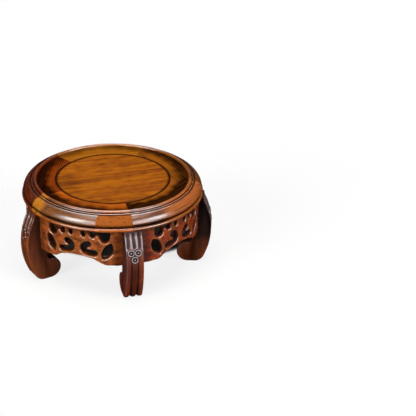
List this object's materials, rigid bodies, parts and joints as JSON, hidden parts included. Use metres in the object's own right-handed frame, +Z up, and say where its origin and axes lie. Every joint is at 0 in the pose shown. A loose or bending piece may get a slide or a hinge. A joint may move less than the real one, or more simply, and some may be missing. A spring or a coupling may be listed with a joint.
{
  "type": "round vase stand",
  "caption": "Low round hardwood stand for a vase: a sunk top with a raised rim, moulded edge, fluted bowed legs with scrolled feet and pierced aprons between them.",
  "frame": {"origin": "on the stand's axis at floor level", "axes": "+Z up along the stand's axis, -Y out over the first leg"},
  "size_m": [0.216, 0.2109, 0.1],
  "materials": {
    "frame_wood": "waxed",
    "panel_wood": "waxed",
    "leg_wood": "waxed",
    "apron_wood": "waxed",
    "spline_wood": "bare",
    "peg_bamboo": "bare"
  },
  "bodies": {
    "root": {"rim_segment_1": "frame_wood", "rim_segment_2": "frame_wood", "rim_segment_3": "frame_wood", "rim_segment_4": "frame_wood", "rim_segment_5": "frame_wood", "seam_spline_1": "spline_wood", "seam_spline_2": "spline_wood", "seam_spline_3": "spline_wood", "seam_spline_4": "spline_wood", "seam_spline_5": "spline_wood", "panel": "panel_wood", "leg_1": "leg_wood", "leg_2": "leg_wood", "leg_3": "leg_wood", "leg_4": "leg_wood", "leg_5": "leg_wood", "apron_1": "apron_wood", "apron_2": "apron_wood", "apron_3": "apron_wood", "apron_4": "apron_wood", "apron_5": "apron_wood", "apron_pegs": "peg_bamboo"}
  },
  "joints": []
}
